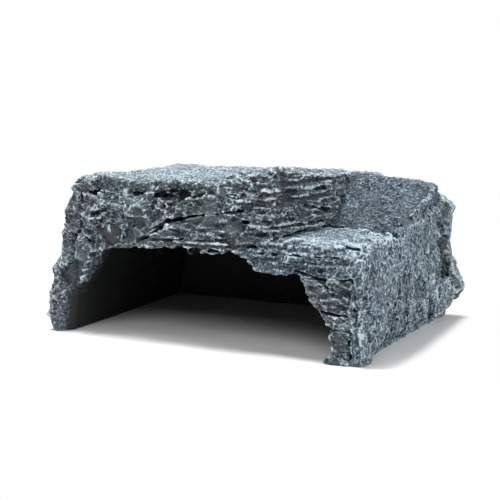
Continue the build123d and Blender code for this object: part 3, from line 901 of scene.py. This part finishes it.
def makeRockPaint(name, look):
    # Dark resin, washed black in its hollows and dry-brushed pale on its ridges, with painted light
    # on its tops and painted shade on its front faces.
    look = {**resin, **look}
    material = bpy.data.materials.new(name)
    material.use_nodes = True
    tree = material.node_tree
    tree.nodes.clear()
    add, calc = nodeMaker(tree)
    at = add("ShaderNodeTexCoord")["Object"]

    def scaled(size, stretch=(1, 1, 1)):
        scale = [1 / (size * s) for s in stretch]
        return add("ShaderNodeMapping", {"Vector": at, "Scale": scale})[0]

    def noise(size, detail=2.0, stretch=(1, 1, 1)):
        sizes = {"Vector": scaled(size, stretch), "Scale": 1.0, "Detail": detail}
        return add("ShaderNodeTexNoise", sizes)["Fac"]

    def net(size, stretch):
        # 1 on a fine net of ridges, 0 in its meshes
        where = scaled(size, stretch)
        wave = add("ShaderNodeTexNoise", {"Vector": where, "Scale": 1.3})["Color"]
        bent = add("ShaderNodeVectorMath", {0: where, 1: wave}, operation="ADD")[0]
        edge = add("ShaderNodeTexVoronoi", {"Vector": bent, "Scale": 1.0},
                   feature="DISTANCE_TO_EDGE")["Distance"]
        return add("ShaderNodeMapRange", {"Value": edge, "From Max": look["netWidth"],
                                          "To Min": 1.0, "To Max": 0.0})["Result"]

    def attribute(title):
        return add("ShaderNodeAttribute", attribute_name=title)["Fac"]

    def ease(value, start, end):
        # 0 before start, 1 past end, whichever way round they are
        return add("ShaderNodeMapRange", {"Value": value, "From Min": start, "From Max": end},
                   interpolation_type="SMOOTHSTEP")["Result"]

    def ramp(value, stops):
        outputs = add("ShaderNodeValToRGB", {0: value})
        elements = outputs[0].node.color_ramp.elements
        for _ in range(len(stops) - 2):
            elements.new(0.5)
        for element, (place, colour) in zip(elements, stops):
            element.position, element.color = place, (*colour, 1)
        return outputs["Color"]

    def mix(share, a, b):
        return add("ShaderNodeMix", {0: share, 6: a, 7: b}, data_type="RGBA")[2]

    # how much pale paint a spot has: most on thin ridges, none in crevices; painted light and shade
    # by the way it faces are added too
    calmShare = attribute("calm")
    lively = calc("SUBTRACT", 1.0, calc("MULTIPLY", calmShare, 0.6))
    fine, mid, broad = attribute("fine"), attribute("mid"), attribute("broad")
    dots = noise(look["dotSize"], 3.0)
    mesh = net(look["netSize"], look["stretch"])
    facing = add("ShaderNodeSeparateXYZ", {0: add("ShaderNodeNewGeometry")["Normal"]})
    texture = calc("MULTIPLY", calc("SUBTRACT", dots, 0.5), look["speckle"])
    ridgeNet = calc("MULTIPLY", calc("SUBTRACT", mesh, 0.3), look["net"])
    texture = calc("MULTIPLY", calc("ADD", texture, ridgeNet), lively)
    paintAndLight = calc("ADD", calc("ADD", texture, look["base"]), attribute("tone"))
    strokes = [
        (fine, look["fine"]),
        (mid, look["mid"]),
        (broad, look["broad"]),
        (ease(fine, 0.10, 0.34), look["ridges"]),
        (ease(mid, -0.25, -0.9), -look["crevices"]),
        (calc("SUBTRACT", noise(look["patchSize"], 3.0, look["stretch"]), 0.5), look["patches"]),
        (calc("SUBTRACT", noise(look["cloudSize"]), 0.5), look["clouds"]),
        # painted light on faces that look up, where the dry-brush also gathers, and painted shade
        # on faces that look to the front
        (calc("MAXIMUM", facing["Z"], 0.0), look["top"]),
        (calc("MINIMUM", facing["Y"], 0.0), look["front"]),
    ]
    for share, weight in strokes:
        paintAndLight = calc("ADD", paintAndLight, calc("MULTIPLY", share, weight))
    paintAndLight = calc("SUBTRACT", paintAndLight, calc("MULTIPLY", calmShare, look["calmDark"]), clamp=True)
    colour = ramp(paintAndLight, look["colours"])

    # brown-purple or greenish resin shows through where the brush has missed
    missed = ramp(paintAndLight, [(0.28, (1, 1, 1)), (0.55, (0, 0, 0))])
    tint = ramp(noise(look["tintSize"]), [(0.42, look["warm"]), (0.60, look["cool"])])
    spots = ramp(noise(look["bareSize"]), [(0.48, (0, 0, 0)), (0.62, (1, 1, 1))])
    spots = calc("MAXIMUM", spots, calmShare)
    bareShare = calc("MULTIPLY", calc("MULTIPLY", missed, spots), look["bare"])
    colour = mix(bareShare, colour, tint)

    # the inner side is left in plain dark resin, near black as painted shade inside the cave
    inside = attribute("inside")
    colour = mix(inside, colour, (*look["inner"], 1))
    satin, matt = look["rough"]
    rough = add("ShaderNodeMapRange", {"Value": noise(look["sheenSize"]), "To Min": satin,
                                       "To Max": matt})["Result"]

    # grain too fine for the mesh
    grain = calc("ADD", calc("MULTIPLY", dots, 0.8), calc("MULTIPLY", mesh, 0.6))
    grain = calc("ADD", grain, calc("MULTIPLY", noise(look["dustSize"]), 0.35))
    outer = calc("SUBTRACT", 1.0, calc("MULTIPLY", inside, 0.85))
    grain = calc("MULTIPLY", calc("MULTIPLY", grain, outer), lively)
    bump = add("ShaderNodeBump", {"Height": grain, "Distance": look["bump"]})[0]
    shader = add("ShaderNodeBsdfPrincipled", {
        "Base Color": colour, "Roughness": rough, "Specular IOR Level": look["gloss"],
        "Normal": bump})[0]
    add("ShaderNodeOutputMaterial", {0: shader})
    return material


layeredPaint = makeRockPaint("layeredPaint", {
    "fine": 0.62, "mid": 0.13, "broad": 0.07, "ridges": 0.42, "crevices": 0.37,
    "speckle": 1.35, "netSize": 0.0042, "netWidth": 0.14, "stretch": (1.7, 1.4, 1.0),
    "patches": 0.4, "clouds": 0.3, "top": 0.14, "front": 0.0,
    "bare": 0.72, "warm": (0.074, 0.065, 0.070), "cool": (0.064, 0.082, 0.080)})
pittedPaint = makeRockPaint("pittedPaint", {
    "fine": 0.6, "mid": 0.15, "broad": 0.09, "crevices": 0.35,
    "speckle": 1.5, "netSize": 0.0024, "netWidth": 0.20, "stretch": (1.0, 1.0, 1.3),
    "patches": 0.35, "clouds": 0.5, "calmDark": 0.1, "colours": blueColours,
    "bare": 0.4, "warm": (0.075, 0.082, 0.094), "cool": (0.068, 0.086, 0.094)})
slabPaint = makeRockPaint("slabPaint", {
    "fine": 0.65, "mid": 0.1, "broad": 0.08, "crevices": 0.3,
    "speckle": 1.4, "net": 0.28, "netSize": 0.0022, "netWidth": 0.22,
    "stretch": (1.2, 1.2, 1.0), "patches": 0.3, "clouds": 0.35, "base": 0.43,
    "bare": 0.5, "warm": (0.068, 0.065, 0.073), "cool": (0.064, 0.080, 0.082)})
paints = {"layered_rock": layeredPaint, "pitted_rock": pittedPaint, "slab_rock": slabPaint}
report("paints mixed")


# the stones
stoneLooks = {
    "left_wall": {"Tone": -0.02, "Seed": 2.0},
    "left_shoulder": {"Pit Share": 0.35, "Seed": 2.0},
    "left_haunch": {"Chip Depth": 0.0004, "Grain Depth": 0.0002, "Seed": 3.0},
    "lintel_upper": {"Tone": -0.04, "Pit Share": 0.3, "Seed": 4.0},
    "lintel_lower": {"Tone": -0.10, "Stretch": (3.0, 2.0, 1.0), "Layer Depth": 0.0003,
                     "Pit Share": 0.1, "Chip Depth": 0.0004, "Seed": 5.0},
    "strata_block": {"Tone": -0.04, "Chip Size": 0.0024, "Stretch": (2.2, 1.8, 1.0),
                     "Layer Depth": 0.0004, "Seed": 6.0},
    "ledge_slab": {"Tone": 0.02, "Stretch": (2.6, 2.0, 1.0), "Layer Depth": 0.0003,
                   "Pit Share": 0.1, "Chip Depth": 0.0005, "Seed": 7.0},
    "right_pier": {"Tone": -0.03, "Chip Depth": 0.0004, "Stretch": (2.0, 2.0, 1.0),
                   "Layer Dip": 0.5, "Layer Depth": 0.0002, "Pit Share": 0.1, "Seed": 8.0},
    "pier_foot": {"Tone": -0.20, "Chip Depth": 0.0005, "Pit Share": 0.1, "Seed": 9.0},
    "right_wall": {"Tone": 0.06, "Chip Size": 0.0026, "Chip Depth": 0.0008,
                   "Stretch": (1.0, 1.0, 1.7), "Pit Share": 0.15, "Seed": 10.0},
    # the riser's darker Tone is painted shade, which keeps its sloping face darker than the ledge
    # and roof under the top lamp
    "riser_block": {"Tone": -0.17, "Chip Size": 0.0020, "Chip Depth": 0.0004,
                    "Pit Share": 0.05, "Grain Depth": 0.0002, "Seed": 11.0},
    "roof_slab": {"Chip Size": 0.0022, "Chip Depth": 0.0005, "Pit Depth": 0.0008,
                  "Seed": 12.0},
    "back_wall": {"Tone": 0.08, "Seed": 13.0},
    "flank_chip": {"Tone": 0.14, "Chip Size": 0.0024, "Seed": 14.0},
}
slotOf = {row["node"]: row["material_slot"] for row in frame["record"]["subparts"]}


def dressStone(name):
    rough = linked(bpy.data.objects.new(name + "Rough", meshes[name]))
    modifier = rough.modifiers.new("rockSkin", "NODES")
    modifier.node_group = rockSkin
    sockets = {item.name: item.identifier for item in rockSkin.interface.items_tree
               if item.in_out == "INPUT"}
    for title, value in {**stoneLooks[name], "Paint": paints[slotOf[name]]}.items():
        modifier[sockets[title]] = value
    shaped = rough.evaluated_get(bpy.context.evaluated_depsgraph_get())
    mesh = bpy.data.meshes.new_from_object(shaped)
    rough.modifiers.clear()
    bpy.data.objects.remove(rough)
    stone = linked(bpy.data.objects.new("stone_" + name, mesh))
    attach(stone, "root")
    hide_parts(name)
    triangles = sum(len(face.vertices) - 2 for face in mesh.polygons)
    report(f"{stone.name}: {triangles} triangles")
    return triangles


allTriangles = sum(dressStone(name) for name in stoneNames)
report(f"all stones: {allTriangles} triangles")


# floor, light and camera
def seenDirectly(add, calc):
    # 1 for camera, glossy and transmission rays, 0 for the rest
    rays = add("ShaderNodeLightPath")
    share = calc("MAXIMUM", rays["Is Camera Ray"], rays["Is Glossy Ray"])
    return calc("MAXIMUM", share, rays["Is Transmission Ray"])


# half of its side, and how far from the object it turns plain white, in metres
floorLook = {"colour": (0.88, 0.88, 0.88, 1), "roughness": 0.9, "gloss": 0.1, "half": 6,
             "whiteFrom": 0.001, "whiteAt": 0.011, "shift": (-0.008, -0.004, 0)}


def makeFloor():
    half = floorLook["half"]
    floor = bpy.data.meshes.new("floor")
    floor.from_pydata([(-half, -half, 0), (half, -half, 0), (half, half, 0), (-half, half, 0)],
                      [], [(0, 1, 2, 3)])
    material = bpy.data.materials.new("whiteFloor")
    material.use_nodes = True
    tree = material.node_tree
    tree.nodes.clear()
    add, calc = nodeMaker(tree)
    shaded = add("ShaderNodeBsdfPrincipled", {
        "Base Color": floorLook["colour"], "Roughness": floorLook["roughness"],
        "Specular IOR Level": floorLook["gloss"]})[0]
    # plain white a little way off the object; its own shadow stays
    lowest, highest = cadBox
    middle, reach = (lowest + highest) / 2, (highest - lowest) / 2
    middle = middle + Vector(floorLook["shift"])
    away = add("ShaderNodeTexCoord")["Object"]
    for operation, value in (("SUBTRACT", (middle.x, middle.y, 0)), ("ABSOLUTE", (0, 0, 0)),
                             ("SUBTRACT", (reach.x, reach.y, 0)), ("MAXIMUM", (0, 0, 0))):
        away = add("ShaderNodeVectorMath", {0: away, 1: value}, operation=operation)["Vector"]
    distance = add("ShaderNodeVectorMath", {0: away}, operation="LENGTH")["Value"]
    fade = add("ShaderNodeMapRange", {"Value": distance, "From Min": floorLook["whiteFrom"],
                                      "From Max": floorLook["whiteAt"]},
               interpolation_type="SMOOTHSTEP")["Result"]
    share = calc("MULTIPLY", seenDirectly(add, calc), fade)
    white = add("ShaderNodeEmission")[0]
    both = add("ShaderNodeMixShader", {0: share, 1: shaded, 2: white})[0]
    add("ShaderNodeOutputMaterial", {0: both})
    floor.materials.append(material)
    linked(bpy.data.objects.new("floor", floor))


makeFloor()


def makeWorld(level):
    # Even light on the object, and plain white behind it.
    world = bpy.data.worlds.new("studio")
    bpy.context.scene.world = world
    world.use_nodes = True
    tree = world.node_tree
    tree.nodes.clear()
    add, calc = nodeMaker(tree)
    strength = add("ShaderNodeMapRange", {"Value": seenDirectly(add, calc), "To Min": level,
                                          "To Max": 1.0})["Result"]
    light = add("ShaderNodeBackground", {"Color": (1, 1, 1, 1), "Strength": strength})[0]
    add("ShaderNodeOutputWorld", {0: light})


makeWorld(0.10)

# place and size in metres, and watts. Each lamp looks at the middle of the footprint
lamps = {
    "topLight": {"place": (-0.15, -0.05, 0.9), "size": (0.35, 0.25), "power": 12.5},
    "frontLight": {"place": (0.05, -0.6, 0.55), "size": (0.6, 0.3), "power": 1.8},
    "rightLight": {"place": (0.85, -0.15, 0.35), "size": (0.25, 0.25), "power": 4.4},
    "leftLight": {"place": (-0.7, -0.35, 0.5), "size": (0.3, 0.3), "power": 1.5},
}


def softLamp(name, place, size, power):
    lamp = bpy.data.lights.new(name, "AREA")
    lamp.shape, lamp.size, lamp.size_y = "RECTANGLE", *size
    lamp.energy = power
    item = linked(bpy.data.objects.new(name, lamp))
    item.location = place
    item.rotation_euler = (-Vector(place)).to_track_quat("-Z", "Y").to_euler()


for name, lamp in lamps.items():
    softLamp(name, **lamp)
report("floor and lamps placed")

# turn and down are degrees, lens and film mm
view = {"place": (0.2578, -0.5432, 0.1351), "turn": 25.87, "down": 8.5, "lens": 72, "film": 36}


def makeCamera():
    camera = bpy.data.cameras.new("camera")
    camera.lens, camera.sensor_width = view["lens"], view["film"]
    camera.clip_start, camera.clip_end = 0.01, 50
    item = linked(bpy.data.objects.new("camera", camera))
    item.location = view["place"]
    item.rotation_euler = (math.radians(90 - view["down"]), 0, math.radians(view["turn"]))
    bpy.context.scene.camera = item


makeCamera()
bpy.context.scene.view_settings.view_transform = "Standard"

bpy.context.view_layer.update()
report("scene ready")
